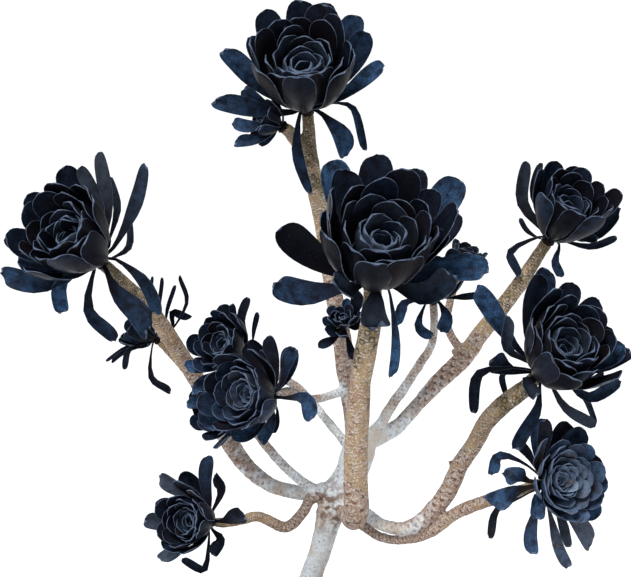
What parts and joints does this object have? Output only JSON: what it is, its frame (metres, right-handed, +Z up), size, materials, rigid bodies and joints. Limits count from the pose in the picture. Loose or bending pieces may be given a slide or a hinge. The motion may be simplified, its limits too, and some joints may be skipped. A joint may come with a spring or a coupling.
{
  "type": "potted aeonium",
  "caption": "Branching dark-leaved tree succulent with leaf rosettes at its stem ends, standing in a soil-filled plain tapered clay pot.",
  "frame": {"origin": "middle of the underside of the pot, on the ground", "axes": "+Z up along the pot's axis; -Y towards the viewer of the picture; +X to the viewer's right"},
  "size_m": [0.619, 0.3582, 0.8768],
  "materials": {
    "clay": "unglazed, matte, fine throwing lines",
    "soil": "loose, gritty, matte",
    "bark": "dry, with leaf scars, olive-tan above and grey-white below",
    "leaf": "satin, near black with a blue sheen and a pale rim"
  },
  "bodies": {
    "root": {"pot": "clay", "soil": "soil", "stems": "bark", "rosette_front": "leaf", "rosette_rear_tall": "leaf", "rosette_rear_tall_side": "leaf", "rosette_left_long": "leaf", "rosette_left_long_side": "leaf", "rosette_left_back": "leaf", "rosette_left_inner": "leaf", "rosette_left_middle": "leaf", "rosette_left_bottom": "leaf", "rosette_right_inner": "leaf", "rosette_right_inner_side": "leaf", "rosette_right_upper": "leaf", "rosette_right_lower": "leaf", "rosette_right_bottom": "leaf", "rosette_middle_side": "leaf"}
  },
  "joints": []
}
